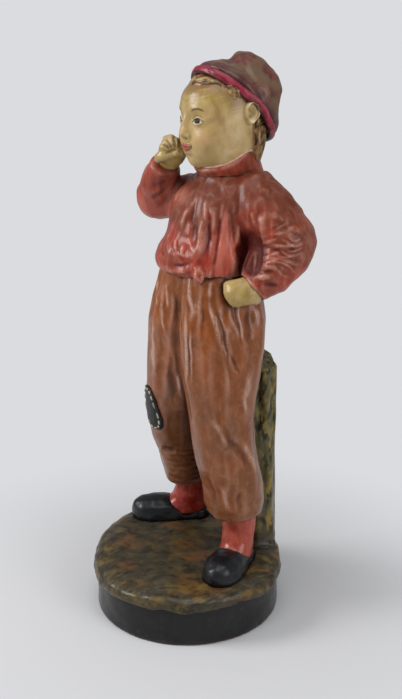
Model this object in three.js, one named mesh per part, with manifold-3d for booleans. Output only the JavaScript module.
// A painted terracotta figure of a boy on a round plinth.
// He stands on a grassy mound against a tree stump, in a soft cap, a blouse, wide trousers and slippers.
// His right fist is raised to his cheek and his left hand rests on his hip.
// The figure is built as a potter builds it: hollow-cast and pressed sections, luted together with slip.
// Each section is one solid, and a thin slip joint is left between neighbours.
// Units are millimetres, +Z is up, the boy faces -Y and his left side is +X.

import * as THREE from "three";
import { ImprovedNoise } from "three/addons/math/ImprovedNoise.js";
import { mergeVertices } from "three/addons/utils/BufferGeometryUtils.js";
import Module from "manifold-3d";

const wasm = await Module();
wasm.setup();

// Driving sizes

const SLIP_JOINT = 0.3; // slip between two luted sections

const PLINTH_RADIUS = 85;
const PLINTH_HEIGHT = 36;
const PLINTH_WALL = 11;
const PLINTH_EDGE = 1.5; // worn rounding of its edges

const GROUND_HEIGHT = 50; // under the left foot
const GROUND_RISE = 19; // from there up to the right foot
const MOUND_OVERHANG = 3.5; // how far the mound stands out over the plinth
const MOUND_SKIRT = 6; // how far it hangs down over the plinth's side

const STUMP_HEIGHT = 237;
const STUMP_WIDTH = 23; // half of it
const STUMP_DEPTH = 15; // half of it
const STUMP_SLANT = 24; // degrees its broken top falls to the left

const SHOE_LENGTH = 76;
const SHOE_WIDTH = 37;
const SHOE_HEIGHT = 19;
const ANKLE_RADIUS = 15;
const SOCK_TOP = 50; // above the ground

const HEM_HEIGHT = 95; // of the left trouser leg
const HEM_LIFT = 9; // of the right leg above the left
const WAIST_HEIGHT = 322;
const WAIST_TUCK = 14; // how far the trousers reach up inside the blouse
const FOLD_DEPTH = 1.7; // of the cloth's smaller folds

const TORSO_LENGTH = 80; // from the waist up to the neck, where the blouse ends
const NECK_RADIUS = 18;
const COLLAR_RADIUS = 26;
const COLLAR_HEIGHT = 18;
const COLLAR_WALL = 3;
const COLLAR_TILT = 27; // degrees it rises to the back

const HEAD_WIDTH = 67;
const HEAD_DEPTH = 71;
const EAR_HEIGHT = 19;
const EAR_WIDTH = 13;
const HAIR_THICKNESS = 2;
const CAP_EASE = 3.3; // room between the skull and the cap's edge
const CAP_TILT = 47; // degrees the cap is pushed to the back
const CAP_CROWN = 42; // height of the crown above its band
const BAND_ROLL = 2.4; // half the thickness of the rolled band

const PATCH_WIDTH = 26;
const PATCH_HEIGHT = 43;
const PATCH_THICKNESS = 1.1;
const KNOT_RADIUS = 4.2;

const FINGER_RADIUS = 3.5;
const PLUMP_HAND = 1.8; // how much more flesh lies over the knuckles of the left hand than of the right
const CUFF_RADIUS = 12;
const WRIST_RADIUS = 8;

// What is carried by the waist moves with it

const NECK_HEIGHT = WAIST_HEIGHT + TORSO_LENGTH;
const HEAD_LIFT = 45; // the middle of the head above the neck

// Places in plan, where x is towards his left and y towards his back

const HIPS = { x: 11.5, y: 11 };
const NECK = { x: 20.5, y: 30 };
const HEAD = { x: 18.5, y: 24, z: NECK_HEIGHT + HEAD_LIFT };
const HEAD_TURN = -12; // degrees, towards his right
const HEAD_NOD = 4; // degrees, forwards
const LEFT_ANKLE = { x: 43, y: 25 };
const RIGHT_ANKLE = { x: -31, y: 32.7 };
const LEFT_TOES_OUT = 22; // degrees
const RIGHT_TOES_OUT = 42; // degrees
const STUMP = { x: 24.5, y: 62 };

// Joints of the arms, as points in space

const LEFT_SHOULDER = [48, 30, NECK_HEIGHT - 14];
const LEFT_ELBOW = [82, 37, WAIST_HEIGHT + 24];
const LEFT_WRIST = [74, 6, WAIST_HEIGHT - 10];
const LEFT_FIST = [69, -1, WAIST_HEIGHT - 10];
const RIGHT_SHOULDER = [-18, 22, NECK_HEIGHT - 23];
const RIGHT_ELBOW = [-50, 10, NECK_HEIGHT - 28];
const RIGHT_WRIST = [-21, -5.5, NECK_HEIGHT + 6.5];
const RIGHT_FIST = [-12, -3, NECK_HEIGHT + 17];

// Glazes and paints

const paint = (color, roughness) => ({ color, roughness, metalness: 0 });
const charcoal = paint(0x2a2a2e, 0.45);
const earth = paint(0x55491f, 0.5);
const blackGloss = paint(0x17191d, 0.3);
const stockingRed = paint(0xa8483a, 0.45);
const chestnut = paint(0x8a5638, 0.4);
const russet = paint(0x92493c, 0.4);
const flesh = paint(0xb5a070, 0.4);
const hairBrown = paint(0x8a6a40, 0.5);
const capBrown = paint(0x6b4c3c, 0.45);
const crimson = paint(0xa02846, 0.45);
const slate = paint(0x2b3a42, 0.45);

// Shared tools

const radians = THREE.MathUtils.degToRad;
const degrees = THREE.MathUtils.radToDeg;
const mix = THREE.MathUtils.lerp;
const ramp = THREE.MathUtils.smoothstep;
const noise = new ImprovedNoise();
const UP = new THREE.Vector3(0, 0, 1);
const LEFTWARDS = new THREE.Vector3(1, 0, 0);
const TURN = 2 * Math.PI;
const FACE_ON = -90; // the angle of -Y, the way the boy faces

/** Degrees from one angle to another, between -180 and 180. */
const turnFrom = (angle, to) => ((to - angle + 540) % 360) - 180;

/** Turns a closed geometry into a solid that can be joined and cut. */
function solid(geometry) {
  const bare = geometry.clone();
  bare.deleteAttribute("normal");
  bare.deleteAttribute("uv");
  const merged = mergeVertices(bare, 1e-3);
  return new wasm.Manifold(
    new wasm.Mesh({
      numProp: 3,
      vertProperties: new Float32Array(merged.attributes.position.array),
      triVerts: new Uint32Array(merged.index.array),
    }),
  );
}

/** Turns a solid back into a geometry. */
function geometryOf(body) {
  const mesh = body.getMesh();
  const geometry = new THREE.BufferGeometry();
  geometry.setAttribute("position", new THREE.BufferAttribute(new Float32Array(mesh.vertProperties), 3));
  geometry.setIndex(new THREE.BufferAttribute(new Uint32Array(mesh.triVerts), 1));
  geometry.computeVertexNormals();
  return geometry;
}

const join = (first, ...others) => others.reduce((all, next) => all.add(next), first);
const cut = (first, ...tools) => tools.reduce((rest, tool) => rest.subtract(tool), first);
const moved = (body, matrix) => body.transform(matrix.elements);

/** Joins rows of points, each a ring with as many points, into one closed skin. */
function skinOf(rows) {
  const sides = rows[0].length;
  const middle = (row) => row.reduce((sum, p) => sum.add(p), new THREE.Vector3()).divideScalar(sides);
  const points = [...rows.flat(), middle(rows[0]), middle(rows.at(-1))];
  const first = rows.length * sides;
  const last = first + 1;
  const faces = [];
  for (let side = 0; side < sides; side++) {
    const next = (side + 1) % sides;
    for (let row = 0; row < rows.length - 1; row++) {
      const a = row * sides + side;
      const b = row * sides + next;
      faces.push(a, b, b + sides, a, b + sides, a + sides);
    }
    const top = (rows.length - 1) * sides;
    faces.push(first, next, side, last, top + side, top + next);
  }
  const geometry = new THREE.BufferGeometry().setFromPoints(points);
  geometry.setIndex(faces);
  return geometry;
}

const TIP = 0.04; // how much of a rounded end is left off at its very tip

/** How far a quarter circle of some reach has opened at a distance from its tip. */
const quarter = (distance, reach) => (distance < reach ? Math.sqrt(1 - (1 - distance / reach) ** 2) : 1);

const curveOf = (points) => new THREE.CatmullRomCurve3(points, false, "catmullrom", 0.5);

/**
 * A solid over oval stations { at: [x, y, z], wide, deep } that follow one another along a smooth spine.
 * relief(angle, share, girth) raises its skin in millimetres, and grow thickens it all over.
 * Rings lie level, or stand square to the spine where a hint is given for their first axis.
 * ends holds the shares of the length over which the start and the end are rounded off.
 * crowd packs the corners closer together round the side that faces -Y.
 */
function loft(stations, { sides, rings, relief = () => 0, grow = 0, hint = null, ends = [0, 0], crowd = 0 }) {
  const spine = curveOf(stations.map((s) => new THREE.Vector3(...s.at)));
  const ovals = curveOf(stations.map((s) => new THREE.Vector3(s.wide, s.deep, 0)));
  const rows = [];
  for (let ring = 0; ring <= rings; ring++) {
    const share = mix(ends[0] * TIP, 1 - ends[1] * TIP, ring / rings);
    const centre = spine.getPoint(share);
    const oval = ovals.getPoint(share);
    const along = hint ? spine.getTangent(share) : UP;
    const across = hint ? new THREE.Vector3().crossVectors(hint, along).normalize() : LEFTWARDS;
    const forth = new THREE.Vector3().crossVectors(along, across);
    const round = quarter(share, ends[0]) * quarter(1 - share, ends[1]);
    const row = [];
    for (let side = 0; side < sides; side++) {
      const even = (side / sides) * TURN;
      const angle = even - crowd * Math.sin(even - radians(FACE_ON));
      const c = Math.cos(angle);
      const s = Math.sin(angle);
      const wide = oval.x * round;
      const deep = oval.y * round;
      const out = new THREE.Vector2(c / wide, s / deep).normalize();
      const lift = relief(degrees(angle), share, (oval.x + oval.y) / 2) * round + grow;
      const point = centre.clone().addScaledVector(across, c * wide + out.x * lift);
      row.push(point.addScaledVector(forth, s * deep + out.y * lift));
    }
    rows.push(row);
  }
  rows[0].forEach((point) => point.addScaledVector(spine.getTangent(0), -grow));
  rows.at(-1).forEach((point) => point.addScaledVector(spine.getTangent(1), grow));
  return solid(skinOf(rows));
}

/** A soft ridge, or a groove where rise is negative, from one [angle, share] of a loft to another. */
function fold(from, to, width, rise) {
  return (angle, share, girth) => {
    const way = (share - from[1]) / (to[1] - from[1]);
    if (way < 0 || way > 1) return 0;
    const away = (radians(turnFrom(mix(from[0], to[0], way), angle)) * girth) / width;
    return rise * Math.exp(-away * away) * Math.min(1, 3.2 * way, 3.2 * (1 - way));
  };
}

/** Even gathers that run round a sleeve on a slant. */
const gathers = (count, slant, rise) => (angle, share) =>
  rise * Math.sin(TURN * count * share + radians(angle * slant)) * Math.sin(Math.PI * share);

const allOf = (marks) => (angle, share, girth) =>
  marks.reduce((sum, mark) => sum + mark(angle, share, girth), 0);

/** A frame at a point, with +z one way and +y as near as may be to another. */
function frameAt(point, up, towards) {
  const z = new THREE.Vector3(...up).normalize();
  const x = new THREE.Vector3().crossVectors(new THREE.Vector3(...towards), z).normalize();
  const y = new THREE.Vector3().crossVectors(z, x);
  return new THREE.Matrix4().makeBasis(x, y, z).setPosition(...point);
}

/** A frame on a solid's skin at an angle round an axis and at a height, with +z pointing out. */
function seatOn(body, axis, angle, height) {
  const shell = new THREE.Mesh(geometryOf(body), new THREE.MeshBasicMaterial({ side: THREE.DoubleSide }));
  const out = new THREE.Vector3(Math.cos(radians(angle)), Math.sin(radians(angle)), 0);
  const middle = new THREE.Vector3(axis.x, axis.y, height);
  const start = middle.clone().addScaledVector(out, 2 * PLINTH_RADIUS);
  const hit = new THREE.Raycaster(start, out.clone().negate()).intersectObject(shell)[0];
  return frameAt(hit.point.toArray(), out.toArray(), UP.toArray());
}

const figure = new THREE.Group();

function place(name, body, finish) {
  const mesh = new THREE.Mesh(geometryOf(body), new THREE.MeshStandardMaterial(finish));
  mesh.name = name;
  figure.add(mesh);
}

// Plinth

/** A solid of revolution about the plinth's upright axis, from [radius, height] corners. */
function turned(corners, sides) {
  const profile = corners.map(([r, z]) => new THREE.Vector2(r, z));
  return solid(new THREE.LatheGeometry(profile, sides).rotateX(Math.PI / 2));
}

const PLINTH_SIDES = 48;

function plinthBlank(inner, grow = 0) {
  const outer = PLINTH_RADIUS + grow;
  const top = PLINTH_HEIGHT + grow;
  const corners = [
    [inner, 0],
    [outer - PLINTH_EDGE, 0],
    [outer, PLINTH_EDGE],
    [outer, top],
    [inner, top],
  ];
  return turned(inner > 0 ? [...corners, corners[0]] : corners, PLINTH_SIDES);
}

const plinth = plinthBlank(PLINTH_RADIUS - PLINTH_WALL);

// Mound

/** The height of the ground at a point in plan, before it falls away at the mound's edge. */
function groundAt(x, y) {
  const towardsRightFoot = -0.8 * x + 0.6 * y;
  const lumps = 1.6 * noise.noise(x / 26, y / 26, 3.3);
  return GROUND_HEIGHT + GROUND_RISE * ramp(towardsRightFoot, -45, 62) + lumps;
}

function moundBlank() {
  const sides = 34;
  const rings = 6;
  const rows = [];
  for (let ring = -1; ring <= rings; ring++) {
    const row = [];
    for (let side = 0; side < sides; side++) {
      const angle = (side / sides) * TURN;
      const ragged = noise.noise(2.2 * Math.cos(angle), 2.2 * Math.sin(angle), 8.1);
      const foot = PLINTH_HEIGHT - MOUND_SKIRT * (0.5 + ragged);
      const brim = PLINTH_RADIUS + MOUND_OVERHANG + 1.4 * ragged;
      const slope = (Math.max(ring, 0) / rings) * (Math.PI / 2) * 0.97;
      const out = ring < 0 ? PLINTH_RADIUS + 1 : brim * Math.cos(slope) ** 0.5;
      const x = out * Math.cos(angle);
      const y = out * Math.sin(angle);
      const rise = (groundAt(x, y) - foot - 4) * Math.sin(slope) ** 0.55;
      row.push(new THREE.Vector3(x, y, ring < 0 ? foot : foot + 4 + rise));
    }
    rows.push(row);
  }
  return solid(skinOf(rows));
}

// Stump

const bark = allOf([
  (angle, share) => 1.5 * Math.sin(radians(7 * angle) + 5 * share),
  (angle, share) => 1.1 * noise.noise(angle / 20, 6 * share, 1.7),
]);

function stumpBlank(grow = 0) {
  const { x, y } = STUMP;
  const trunk = loft(
    [
      { at: [x + 1, y - 3, PLINTH_HEIGHT + 4], wide: STUMP_WIDTH + 8, deep: STUMP_DEPTH + 4 },
      { at: [x + 1, y - 1, GROUND_HEIGHT + 10], wide: STUMP_WIDTH + 3, deep: STUMP_DEPTH + 1 },
      { at: [x, y, mix(GROUND_HEIGHT, STUMP_HEIGHT, 0.4)], wide: STUMP_WIDTH, deep: STUMP_DEPTH },
      { at: [x, y, mix(GROUND_HEIGHT, STUMP_HEIGHT, 0.7)], wide: STUMP_WIDTH - 1, deep: STUMP_DEPTH },
      { at: [x + 1, y - 1, STUMP_HEIGHT + 12], wide: STUMP_WIDTH - 1, deep: STUMP_DEPTH - 1 },
    ],
    { sides: 24, rings: 8, relief: bark, grow },
  );
  const offcut = new THREE.BoxGeometry(200, 200, 60).translate(0, 0, 30 + grow);
  offcut.rotateY(radians(STUMP_SLANT)).translate(x, y, STUMP_HEIGHT);
  return cut(trunk, solid(offcut));
}

// Feet

/** A frame on the ground at an ankle, with -y towards the toes. */
const footFrame = (ankle, toesOut, height) =>
  new THREE.Matrix4().makeRotationZ(radians(toesOut)).setPosition(ankle.x, ankle.y, height);

const leftFoot = footFrame(LEFT_ANKLE, LEFT_TOES_OUT, GROUND_HEIGHT);
const rightFoot = footFrame(RIGHT_ANKLE, -RIGHT_TOES_OUT, GROUND_HEIGHT + GROUND_RISE - 3);

/** The outside of a low slipper: rings along the foot, flat below and rounded above. */
function shoeBlank(grow = 0) {
  const rings = 9;
  const sides = 12;
  const sink = 3; // how deep the sole is bedded in the ground
  const heel = SHOE_LENGTH * 0.235;
  const rows = [];
  for (let ring = 0; ring <= rings; ring++) {
    const share = 0.5 - 0.5 * Math.cos(Math.PI * mix(0.03, 0.97, ring / rings));
    const end = Math.min(1, share / 0.18, (1 - share) / 0.3);
    const round = Math.sqrt(1 - (1 - end) ** 2);
    const wide = (SHOE_WIDTH / 2) * round * mix(0.76, 1, ramp(share, 0.1, 0.68)) + grow;
    const high = SHOE_HEIGHT * mix(0.66, 1, ramp(share, 0.1, 0.5)) * (0.4 + 0.6 * round) + grow;
    const y = heel - share * SHOE_LENGTH + grow * Math.cos(Math.PI * share);
    const row = [];
    for (let side = 0; side < sides; side++) {
      const angle = (side / sides) * TURN;
      const s = Math.sin(angle);
      const z = s > 0 ? high * s ** 0.75 : -(sink + grow) * Math.min(1, -2 * s);
      row.push(new THREE.Vector3(wide * Math.cos(angle), y, z));
    }
    rows.push(row);
  }
  return solid(skinOf(rows));
}

/** The stockinged ankle and instep that rise out of the slipper. */
function sockBlank(grow = 0) {
  const r = ANKLE_RADIUS;
  return loft(
    [
      { at: [0, -8, 4], wide: r * 0.95, deep: r * 1.55 },
      { at: [0, -6, 12], wide: r * 0.98, deep: r * 1.4 },
      { at: [0, -2, 20], wide: r * 0.95, deep: r * 1.1 },
      { at: [0, 0, 30], wide: r, deep: r },
      { at: [0, 0, SOCK_TOP], wide: r * 1.12, deep: r * 1.12 },
    ],
    { sides: 16, rings: 4, grow },
  );
}

const sock = (foot, grow) => moved(sockBlank(grow), foot);
const shoe = (foot, grow) => moved(shoeBlank(grow), foot);

// Trousers

const waist = WAIST_HEIGHT + WAIST_TUCK;
const legHeight = (share) => mix(HEM_HEIGHT, waist, share);

/** One half of the trousers, from its hem up to the waist. */
const trouserHalf = (stations, marks, grow) =>
  loft(stations, { sides: 32, rings: 13, relief: allOf(marks), grow });

const leftHalf = (grow = 0) =>
  trouserHalf(
    [
      { at: [41.5, 21.5, legHeight(0)], wide: 20, deep: 20 },
      { at: [41.5, 20.5, legHeight(0.03)], wide: 26, deep: 26 },
      { at: [42, 17, legHeight(0.13)], wide: 28, deep: 27 },
      { at: [40, 11.5, legHeight(0.24)], wide: 29, deep: 28 },
      { at: [38, 8, legHeight(0.36)], wide: 28.5, deep: 28 },
      { at: [36, 8, legHeight(0.5)], wide: 31, deep: 32 },
      { at: [33.5, 11, legHeight(0.63)], wide: 35, deep: 38.5 },
      { at: [31, 13.5, legHeight(0.76)], wide: 35.5, deep: 41 },
      { at: [27.5, 14, legHeight(0.88)], wide: 33, deep: 36 },
      { at: [24, 14, legHeight(1)], wide: 29, deep: 30 },
    ],
    [
      fold([-100, 1.02], [-96, 0.4], 4.5, FOLD_DEPTH),
      fold([-84, 1.02], [-76, 0.55], 4, -FOLD_DEPTH),
      fold([-70, 1.02], [-58, 0.5], 4.5, FOLD_DEPTH * 1.2),
      fold([-58, 1], [-42, 0.48], 3.6, -FOLD_DEPTH * 1.3),
      fold([-46, 1], [-27, 0.42], 4.2, FOLD_DEPTH),
      fold([-34, 0.98], [-14, 0.5], 3.5, -FOLD_DEPTH),
      fold([-22, 0.96], [-2, 0.55], 4.5, FOLD_DEPTH),
      fold([-8, 0.95], [12, 0.6], 3.6, -FOLD_DEPTH),
      fold([14, 0.97], [24, 0.6], 5, FOLD_DEPTH),
      fold([40, 0.97], [44, 0.62], 4, -FOLD_DEPTH),
      fold([70, 0.97], [74, 0.6], 5, FOLD_DEPTH),
      fold([100, 0.97], [96, 0.6], 4, -FOLD_DEPTH),
      fold([-28, 0.42], [2, 0.1], 7, -1.6),
      fold([-48, 0.36], [-26, 0.22], 5, 2.4),
      fold([40, 0.5], [20, 0.2], 6, -2),
      fold([130, 0.4], [110, 0.08], 7, -2),
      fold([-120, 0.4], [-100, 0.06], 7, -1.6),
    ],
    grow,
  );

const rightHalf = (grow = 0) =>
  trouserHalf(
    [
      { at: [-32, 27, legHeight(0) + HEM_LIFT], wide: 16, deep: 17 },
      { at: [-31, 26, legHeight(0.03) + HEM_LIFT], wide: 20, deep: 21 },
      { at: [-29, 20, legHeight(0.13) + HEM_LIFT], wide: 22.5, deep: 23 },
      { at: [-25, 11, legHeight(0.25) + HEM_LIFT * 0.8], wide: 25.5, deep: 25.5 },
      { at: [-18.5, 5, legHeight(0.38) + HEM_LIFT * 0.5], wide: 28, deep: 27.5 },
      { at: [-14, 6, legHeight(0.5)], wide: 30.5, deep: 31.5 },
      { at: [-9, 10.5, legHeight(0.63)], wide: 33, deep: 37 },
      { at: [-6, 13.5, legHeight(0.76)], wide: 34.5, deep: 41 },
      { at: [-2.5, 14, legHeight(0.88)], wide: 32.5, deep: 36 },
      { at: [1, 14, legHeight(1)], wide: 29, deep: 30 },
    ],
    [
      fold([-128, 1.02], [-118, 0.45], 4.5, FOLD_DEPTH),
      fold([-112, 1.02], [-104, 0.5], 4, -FOLD_DEPTH),
      fold([-98, 1.02], [-92, 0.4], 4.5, FOLD_DEPTH * 1.1),
      fold([-84, 1.02], [-80, 0.5], 4, -FOLD_DEPTH),
      fold([-70, 1.02], [-70, 0.45], 4.5, FOLD_DEPTH * 1.2),
      fold([-146, 0.98], [-140, 0.6], 4, -FOLD_DEPTH),
      fold([-166, 0.98], [-160, 0.55], 5, FOLD_DEPTH),
      fold([170, 0.98], [172, 0.6], 4, -FOLD_DEPTH),
      fold([146, 0.98], [150, 0.6], 5, FOLD_DEPTH),
      fold([110, 0.98], [120, 0.55], 4.5, -FOLD_DEPTH),
      fold([80, 0.98], [84, 0.55], 5, FOLD_DEPTH),
      fold([-60, 0.5], [-40, 0.15], 6, -2),
      fold([-130, 0.3], [-110, 0.1], 6, -1.8),
      fold([60, 0.4], [100, 0.1], 7, -2),
      fold([170, 0.42], [150, 0.1], 7, -1.8),
    ],
    grow,
  );

const trousersBlank = (grow = 0) => join(leftHalf(grow), rightHalf(grow));

/** An upright oval peg through a seat, for cutting a patch out of a layer of cloth. */
function ovalPeg(width, height, length) {
  const outline = new THREE.Shape();
  const corners = 20;
  for (let corner = 0; corner < corners; corner++) {
    const angle = (corner / corners) * TURN;
    const bend = (value) => Math.sign(value) * Math.abs(value) ** 0.75;
    const across = (bend(Math.cos(angle)) * width) / 2;
    const along = (bend(Math.sin(angle)) * height) / 2;
    outline[corner ? "lineTo" : "moveTo"](across, along);
  }
  const peg = new THREE.ExtrudeGeometry(outline, { depth: length, bevelEnabled: false });
  return solid(peg.translate(0, 0, -length / 2));
}

const kneeSeat = seatOn(rightHalf(), { x: -18, y: 4 }, -107, legHeight(0.395));
const patchPeg = moved(ovalPeg(PATCH_WIDTH, PATCH_HEIGHT, 24), kneeSeat);
const patchCloth = rightHalf(SLIP_JOINT + PATCH_THICKNESS).intersect(patchPeg);

// Blouse

const blouseHem = WAIST_HEIGHT - 3;
const blouseHeight = (share) => mix(blouseHem, NECK_HEIGHT, share);

/** A soft bulge, or a dent where rise is negative, at an angle and a share of the blouse's height. */
const bulge = (at, height, wide, tall, rise) => (angle, share) =>
  rise * Math.exp(-((turnFrom(at, angle) / wide) ** 2) - ((share - height) / tall) ** 2);

const blouseFolds = allOf([
  fold([-108, 0.6], [-112, 0.06], 5, -FOLD_DEPTH),
  fold([-92, 0.7], [-97, 0.04], 5, FOLD_DEPTH),
  fold([-74, 0.75], [-80, 0.04], 4, -FOLD_DEPTH),
  fold([-62, 0.8], [-66, 0.02], 5, FOLD_DEPTH),
  fold([-50, 0.7], [-52, 0.0], 3.6, -FOLD_DEPTH * 1.2),
  fold([-42, 0.82], [-40, 0.0], 5, FOLD_DEPTH),
  fold([-27, 0.75], [-33, -0.05], 3, -FOLD_DEPTH * 1.3),
  fold([-23, 0.75], [-21, -0.05], 5, FOLD_DEPTH * 0.8),
  fold([-18, 0.75], [-8, -0.05], 3, -FOLD_DEPTH * 1.3),
  fold([30, 0.7], [26, 0.05], 6, -FOLD_DEPTH),
  fold([62, 0.8], [66, 0.04], 6, FOLD_DEPTH),
  fold([88, 0.8], [90, 0.04], 5, -FOLD_DEPTH),
  fold([116, 0.8], [112, 0.04], 6, FOLD_DEPTH),
  fold([140, 0.75], [138, 0.05], 5, -FOLD_DEPTH),
  fold([168, 0.7], [170, 0.05], 6, FOLD_DEPTH),
  bulge(-132, 0.44, 26, 0.13, -5), // nipped in above his right hip
  bulge(-135, 0.17, 26, 0.14, 2), // and hanging over it
]);

const blouseBlank = (grow = 0) =>
  loft(
    [
      { at: [HIPS.x + 1, 14, blouseHeight(0)], wide: 44, deep: 36 },
      { at: [HIPS.x + 1, 13.5, blouseHeight(0.08)], wide: 48.5, deep: 40 },
      { at: [HIPS.x + 1.5, 14, blouseHeight(0.24)], wide: 48, deep: 39 },
      { at: [HIPS.x + 2, 16, blouseHeight(0.42)], wide: 46, deep: 34 },
      { at: [HIPS.x + 3, 18.5, blouseHeight(0.6)], wide: 46, deep: 33 },
      { at: [HIPS.x + 6, 23, blouseHeight(0.77)], wide: 45, deep: 31 },
      { at: [HIPS.x + 9, 28, blouseHeight(0.9)], wide: 41, deep: 28 },
      { at: [NECK.x, NECK.y, blouseHeight(1)], wide: 27, deep: 25 },
    ],
    { sides: 34, rings: 10, relief: blouseFolds, grow },
  );

/** The small knot that ties the blouse over the waistband, hanging from the hem. */
function knotBlank(grow = 0) {
  return loft(
    [
      { at: [0, -9, 1.5], wide: KNOT_RADIUS * 0.8, deep: KNOT_RADIUS * 0.8 },
      { at: [0, -3, 2.5], wide: KNOT_RADIUS, deep: KNOT_RADIUS },
      { at: [0, 3, 2], wide: KNOT_RADIUS * 0.9, deep: KNOT_RADIUS * 0.9 },
      { at: [0, 7, 1], wide: KNOT_RADIUS * 0.5, deep: KNOT_RADIUS * 0.5 },
    ],
    { sides: 10, rings: 5, ends: [0.3, 0.3], hint: LEFTWARDS, grow },
  );
}

const knotSeat = seatOn(blouseBlank(), HIPS, -50, blouseHem + 5);

/** The stand-up collar, wider above than below and tilted up to the back. It is filled where inner is 0. */
function collarBlank(inner, grow = 0) {
  const outer = COLLAR_RADIUS + grow;
  const low = -15 - grow; // its foot is sunk in the blouse
  const corners = [
    [inner, low],
    [outer + 1, low],
    [outer, COLLAR_HEIGHT * 0.4],
    [outer + 1.5, COLLAR_HEIGHT - 1.5],
    [outer + 0.5, COLLAR_HEIGHT + grow],
    [inner > 0 ? inner + 1.5 : 0, COLLAR_HEIGHT + grow],
  ];
  const tilt = new THREE.Matrix4().makeRotationX(radians(COLLAR_TILT));
  const body = turned(inner > 0 ? [...corners, corners[0]] : corners, 24);
  return moved(body, tilt.setPosition(NECK.x, NECK.y + 2, NECK_HEIGHT + 1));
}

// Arms

const DOWN_THE_BODY = new THREE.Vector3(0.3, -1, 0.2);

/**
 * A length of sleeve between two joints, with its girths at even steps, rounded over each joint.
 * A cuffed length ends square at its second joint.
 */
function sleevePart(from, to, girths, cuffed, grow) {
  const start = new THREE.Vector3(...from);
  const end = new THREE.Vector3(...to);
  const before = girths[0] / start.distanceTo(end);
  const past = cuffed ? 0 : girths.at(-1) / start.distanceTo(end);
  const whole = 1 + before + past;
  const stations = girths.map((girth, step) => {
    const share = mix(-before, 1 + past, step / (girths.length - 1));
    return { at: start.clone().lerp(end, share).toArray(), wide: girth, deep: girth };
  });
  const ends = [before / whole, past / whole];
  return loft(stations, { sides: 16, rings: 8, ends, relief: gathers(3, 1, 0.9), hint: DOWN_THE_BODY, grow });
}

/** A gathered sleeve over two pieces of arm that meet at the elbow. */
const sleeveBlank = (shoulder, elbow, wrist, upper, lower, grow = 0) =>
  join(sleevePart(shoulder, elbow, upper, false, grow), sleevePart(elbow, wrist, lower, true, grow));

const LEFT_UPPER_GIRTHS = [19, 25.5, 27.5, 24];
const LEFT_LOWER_GIRTHS = [23.5, 24, 23.5, 20.5, CUFF_RADIUS];
const RIGHT_UPPER_GIRTHS = [20, 19, 18, 17.5];
const RIGHT_LOWER_GIRTHS = [17.5, 18, 17.5, 15.5, CUFF_RADIUS];
const leftSleeve = () =>
  sleeveBlank(LEFT_SHOULDER, LEFT_ELBOW, LEFT_WRIST, LEFT_UPPER_GIRTHS, LEFT_LOWER_GIRTHS);
const rightSleeve = () =>
  sleeveBlank(RIGHT_SHOULDER, RIGHT_ELBOW, RIGHT_WRIST, RIGHT_UPPER_GIRTHS, RIGHT_LOWER_GIRTHS);

/** A closed fist with its knuckles up and its curled fingers towards +y, its back plumper where asked. */
function fistBlank(plump, grow = 0) {
  const r = FINGER_RADIUS;
  const ball = (wide, deep, tall) =>
    new THREE.SphereGeometry(1, 10, 6).scale(wide + grow, deep + grow, tall + grow);
  const half = plump / 2;
  const palm = solid(ball(11.5 + half, 8.5 + half, 12.5 + plump).translate(0, -half, half));
  const clenched = solid(ball(10.5, 5.5, 8).translate(0, 4, 5)); // the clay that fills the curled fingers
  const finger = (place) =>
    loft(
      [
        { at: [place * r * 1.65, -4.5, 5], wide: r * 0.9, deep: r * 0.9 },
        { at: [place * r * 1.7, -1.5, 11 - Math.abs(place)], wide: r, deep: r },
        { at: [place * r * 1.7, 5.5, 10.5 - Math.abs(place)], wide: r, deep: r },
        { at: [place * r * 1.65, 8.5, 4.5], wide: r, deep: r },
        { at: [place * r * 1.6, 6, -0.5], wide: r * 0.85, deep: r * 0.85 },
      ],
      { sides: 6, rings: 5, ends: [0.1, 0.12], hint: LEFTWARDS, grow },
    );
  const thumb = loft(
    [
      { at: [9, 1, -9], wide: 4.2, deep: 4.2 },
      { at: [10.5, 6.5, -5], wide: 4.2, deep: 4.2 },
      { at: [7, 10.5, -1.5], wide: 3.9, deep: 3.9 },
      { at: [1, 11.5, -0.5], wide: 3.4, deep: 3.4 },
    ],
    { sides: 6, rings: 4, ends: [0.2, 0.2], hint: UP, grow },
  );
  return join(palm, clenched, thumb, ...[-1.5, -0.5, 0.5, 1.5].map(finger));
}

/** The wrist, from a fist some way towards its elbow. */
function wristBlank(fist, elbow, grow = 0) {
  const towards = new THREE.Vector3(...elbow).sub(new THREE.Vector3(...fist)).normalize();
  const at = (distance) => new THREE.Vector3(...fist).addScaledVector(towards, distance).toArray();
  return loft(
    [
      { at: at(2), wide: WRIST_RADIUS * 1.15, deep: WRIST_RADIUS },
      { at: at(10), wide: WRIST_RADIUS * 1.05, deep: WRIST_RADIUS },
      { at: at(18), wide: WRIST_RADIUS, deep: WRIST_RADIUS },
    ],
    { sides: 12, rings: 1, hint: DOWN_THE_BODY, grow },
  );
}

const mirror = new THREE.Matrix4().makeScale(-1, 1, 1);
const rightHandFrame = frameAt(RIGHT_FIST, [0.3, 0, 1], [0.74, -0.67, 0]);
const leftHandFrame = frameAt(LEFT_FIST, [-0.6, -0.76, -0.24], [-0.85, 0.45, -0.3]);
const rightHand = (grow) =>
  join(moved(fistBlank(0, grow), rightHandFrame), wristBlank(RIGHT_FIST, RIGHT_ELBOW, grow));
const leftHand = (grow) => {
  const fist = moved(fistBlank(PLUMP_HAND, grow), leftHandFrame.clone().multiply(mirror));
  return join(fist, wristBlank(LEFT_FIST, LEFT_ELBOW, grow));
};

// Head, built round its own middle, then nodded, turned and lifted into place

const headFrame = new THREE.Matrix4()
  .makeRotationZ(radians(HEAD_TURN))
  .multiply(new THREE.Matrix4().makeRotationX(radians(HEAD_NOD)))
  .setPosition(HEAD.x, HEAD.y, HEAD.z);

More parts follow.
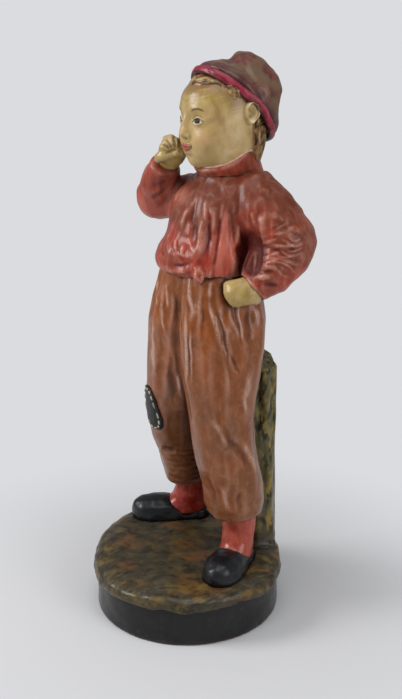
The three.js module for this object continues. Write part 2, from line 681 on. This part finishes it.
/** A swelling, or a hollow where rise is negative, at an angle and a height on the head. */
const swelling = (angle, height, wide, tall, rise) => (at, z) =>
  rise * Math.exp(-((turnFrom(angle, at) / wide) ** 2) - ((z - height) / tall) ** 2);

const bothSides = (offset, ...rest) => [
  swelling(FACE_ON - offset, ...rest),
  swelling(FACE_ON + offset, ...rest),
];

const faceForms = [
  swelling(FACE_ON, -8, 6.5, 4.5, 5), // tip of the nose
  swelling(FACE_ON, -1, 5.5, 8, 2.6), // bridge
  ...bothSides(9, -10, 4.5, 3, 1.6), // wings of the nose
  ...bothSides(23, 2, 11, 6, -2.8), // eye sockets
  ...bothSides(24, 1.5, 9, 3.6, 1.9), // eyeballs under their lids
  ...bothSides(24, 10, 15, 3.6, 1), // brows
  ...bothSides(34, -13, 18, 9, 1.8), // cheeks
  swelling(FACE_ON, -17, 12, 2.4, 1.6), // upper lip
  swelling(FACE_ON, -22, 10, 2.4, 1.6), // lower lip
  swelling(FACE_ON, -27, 11, 2.6, -0.8), // hollow under the lip
  swelling(FACE_ON, -33, 15, 5, 2.2), // chin
  swelling(FACE_ON, 22, 30, 9, 1), // forehead
];

const w = HEAD_WIDTH / 2;
const d = HEAD_DEPTH / 2;
const headStations = [
  { at: [0, 6, -42], wide: w * 0.5, deep: d * 0.5 },
  { at: [0, 1.5, -36], wide: w * 0.7, deep: d * 0.78 },
  { at: [0, -0.5, -28], wide: w * 0.82, deep: d * 0.92 },
  { at: [0, -0.5, -19], wide: w * 0.92, deep: d * 0.97 },
  { at: [0, 0, -8], wide: w * 0.98, deep: d * 0.98 },
  { at: [0, 0.5, 5], wide: w, deep: d },
  { at: [0, 1.5, 18], wide: w * 0.97, deep: d * 0.98 },
  { at: [0, 4, 28], wide: w * 0.85, deep: d * 0.87 },
  { at: [0, 8, 36], wide: w * 0.58, deep: d * 0.62 },
  { at: [0, 10, 40], wide: w * 0.18, deep: d * 0.18 },
];

const neckBlank = (grow = 0) =>
  moved(
    loft(
      [
        { at: [0, 8, -60], wide: NECK_RADIUS, deep: NECK_RADIUS },
        { at: [0, 5, -22], wide: NECK_RADIUS, deep: NECK_RADIUS },
      ],
      { sides: 18, rings: 1, grow },
    ),
    headFrame,
  );

function headBlank(grow = 0) {
  const spine = curveOf(headStations.map((s) => new THREE.Vector3(...s.at)));
  const relief = (angle, share) => {
    const height = spine.getPoint(share).z;
    return faceForms.reduce((sum, form) => sum + form(angle, height), 0);
  };
  const skull = loft(headStations, { sides: 28, rings: 22, crowd: 0.5, relief, grow });
  return join(moved(skull, headFrame), neckBlank(grow));
}

/** A plainer and roomier skull than the head's, for the inside of the cap. */
const capLining = () => moved(loft(headStations, { sides: 16, rings: 8, grow: 2 }), headFrame);

/** An ear: a shallow oval dish with a rolled rim, set in the side of the head. Grown, the dish is filled. */
function earBlank(side, grow = 0) {
  const rim = EAR_WIDTH / 2 + grow;
  const hollow = grow > 0 ? -2 : 2.8;
  const dish = turned(
    [
      [0, -5 - grow],
      [rim * 0.8, -5 - grow],
      [rim, 1],
      [rim * 0.94, 3.4 + grow],
      [rim * 0.74, 3.8 + grow],
      [rim * 0.56, 3.8 + grow - 0.6 * hollow],
      [0, 3.8 + grow - hollow],
    ],
    14,
  );
  const stretch = new THREE.Matrix4().makeScale(1, (EAR_HEIGHT / 2 + grow) / rim, 1);
  const out = [side * Math.cos(radians(14)), Math.sin(radians(14)), 0];
  const seat = frameAt([side * (w - 0.5), 6, 6], out, [0, 0.15, 1]);
  return moved(dish, headFrame.clone().multiply(seat).multiply(stretch));
}

const ears = (grow) => [earBlank(1, grow), earBlank(-1, grow)];

// Hair

const strands = allOf([
  (angle, share) => 0.6 * Math.sin(radians(16 * angle) + 9 * share),
  (angle, share) => 0.8 * noise.noise(angle / 14, 8 * share, 5.1),
]);

function hairBlank() {
  const t = HAIR_THICKNESS;
  const shell = loft(
    [
      { at: [0, 11, -35], wide: w * 0.62 + t, deep: d * 0.66 + t },
      { at: [0, 6, -24], wide: w * 0.86 + t, deep: d * 0.93 + t },
      { at: [0, 2.5, -8], wide: w * 0.98 + t, deep: d + t },
      { at: [0, 1, 8], wide: w + t, deep: d + t },
      { at: [0, 2, 20], wide: w * 0.95 + t, deep: d * 0.96 + t },
      { at: [0, 3, 30], wide: w * 0.84 + t, deep: d * 0.86 + t },
      { at: [0, 6, 40], wide: w * 0.5 + t, deep: d * 0.6 + t },
    ],
    { sides: 28, rings: 8, relief: strands },
  );
  const hairline = new THREE.Shape();
  hairline.moveTo(-80, 26);
  hairline.splineThru([
    new THREE.Vector2(-34, 26),
    new THREE.Vector2(-26, 29),
    new THREE.Vector2(-16, 25),
    new THREE.Vector2(-9, 15),
    new THREE.Vector2(-2, 16),
    new THREE.Vector2(7, 14),
    new THREE.Vector2(10, 2),
    new THREE.Vector2(11, -14),
    new THREE.Vector2(15, -40),
  ]);
  hairline.lineTo(15, -80);
  hairline.lineTo(-80, -80);
  const bareFace = new THREE.ExtrudeGeometry(hairline, { depth: 120, bevelEnabled: false, curveSegments: 5 });
  bareFace.translate(0, 0, -60).applyMatrix4(frameAt([0, 0, 0], [1, 0, 0], [0, 0, 1]));
  return moved(cut(shell, solid(bareFace)), headFrame);
}

// Cap

const capFrame = headFrame
  .clone()
  .multiply(new THREE.Matrix4().makeRotationX(radians(-CAP_TILT)).setPosition(0, 11.7, 10.2));
const CAP_WIDE = w + CAP_EASE;
const CAP_LONG = d + CAP_EASE + 4;

const CAP_SIDES = 28;

/** Stretches a piece turned on the cap's axis to the cap's length and sets it on the head. */
const ovalOnCap = (body) =>
  moved(body, capFrame.clone().multiply(new THREE.Matrix4().makeScale(1, CAP_LONG / CAP_WIDE, 1)));

/** The rolled band, taller than it is thick. */
function bandBlank(grow = 0) {
  const corners = 6;
  const profile = [];
  for (let corner = 0; corner <= corners; corner++) {
    const angle = ((corner % corners) / corners) * TURN;
    const across = (BAND_ROLL + grow) * Math.cos(angle);
    profile.push([CAP_WIDE - 0.6 + across, (1.7 * BAND_ROLL + grow) * Math.sin(angle)]);
  }
  return ovalOnCap(turned(profile, CAP_SIDES));
}

/** The whole space inside the cap, down to the band's lower edge. */
function capSeat(grow) {
  const low = -1.7 * BAND_ROLL - grow;
  const disc = turned([[0, low], [CAP_WIDE - 1, low], [CAP_WIDE - 1, 1], [0, 1]], CAP_SIDES);
  return join(ovalOnCap(disc), bandBlank(grow), crownBlank(grow));
}

const crumple = allOf([
  (angle, share) => 2.6 * share * noise.noise(angle / 42, 3.2 * share, 7.7),
  fold([-95, 0.45], [-80, 1.05], 11, 3.5),
  fold([-40, 0.3], [-20, 0.95], 8, -2.4),
  fold([40, 0.2], [60, 0.95], 9, -2.4),
  fold([95, 0.3], [90, 1.05], 11, 2.6),
  fold([-150, 0.25], [-165, 0.95], 8, -2.2),
]);

const crownBlank = (grow = 0) =>
  moved(
    loft(
      [
        { at: [0, 0, -1], wide: CAP_WIDE - 2, deep: CAP_LONG - 2 },
        { at: [0, 0.5, CAP_CROWN * 0.13], wide: CAP_WIDE + 0.5, deep: CAP_LONG },
        { at: [0, 1, CAP_CROWN * 0.32], wide: CAP_WIDE - 1, deep: CAP_LONG - 5.5 },
        { at: [0, 2, CAP_CROWN * 0.56], wide: CAP_WIDE - 6, deep: CAP_LONG - 14.5 },
        { at: [0, 2, CAP_CROWN * 0.82], wide: CAP_WIDE - 12, deep: CAP_LONG - 21.5 },
        { at: [0, -0.5, CAP_CROWN], wide: CAP_WIDE * 0.34, deep: CAP_LONG * 0.28 },
      ],
      { sides: CAP_SIDES, rings: 10, relief: crumple, grow },
    ),
    capFrame,
  );

// Assembly: each section is cut to seat against the ones it was luted to

const j = SLIP_JOINT;
const feet = { left: leftFoot, right: rightFoot };
const headSeat = headBlank(j);
const trousersSeat = trousersBlank(j);
const blouse = cut(blouseBlank(), trousersSeat, neckBlank(j), moved(knotBlank(j), knotSeat));
const blouseSeat = blouseBlank(j);
const collarSeat = collarBlank(0, j);
const collar = cut(collarBlank(COLLAR_RADIUS - COLLAR_WALL), headSeat, blouseSeat);
const hair = cut(hairBlank(), headSeat, capSeat(j), collarSeat, ...ears(j));
const [fringe, nape] = hair.splitByPlane([0, 0, 1], HEAD.z + 9); // the ears part it

place("plinth", plinth, charcoal);
place(
  "mound",
  cut(moundBlank(), plinthBlank(0, j), stumpBlank(j), shoe(leftFoot, j), shoe(rightFoot, j)),
  earth,
);
place("stump", cut(stumpBlank(), trousersSeat, shoe(leftFoot, j), shoe(rightFoot, j)), earth);
for (const [side, foot] of Object.entries(feet)) {
  place(`shoe_${side}`, cut(shoe(foot), sock(foot, j)), blackGloss);
  place(`sock_${side}`, sock(foot), stockingRed);
}
place("trousers", cut(trousersBlank(), sock(leftFoot, j), sock(rightFoot, j)), chestnut);
place("knee_patch", cut(patchCloth, rightHalf(j)), slate);
place("blouse", blouse, russet);
place("waist_knot", cut(moved(knotBlank(), knotSeat), trousersSeat), russet);
place("collar", collar, russet);
place("sleeve_left", cut(leftSleeve(), blouseSeat, trousersSeat, collarSeat, leftHand(j)), russet);
place("sleeve_right", cut(rightSleeve(), blouseSeat, collarSeat, rightHand(j)), russet);
place("hand_left", cut(leftHand(), trousersSeat, blouseSeat), flesh);
place("hand_right", cut(rightHand(), headSeat), flesh);
place("head", headBlank(), flesh);
place("ear_left", cut(earBlank(1), headSeat), flesh);
place("ear_right", cut(earBlank(-1), headSeat), flesh);
place("hair_fringe", fringe, hairBrown);
place("hair_nape", nape, hairBrown);
place("cap_band", cut(bandBlank(), headSeat, ...ears(j)), crimson);
place("cap_crown", cut(crownBlank(), capLining(), bandBlank(j), ...ears(j)), capBrown);

export default figure;
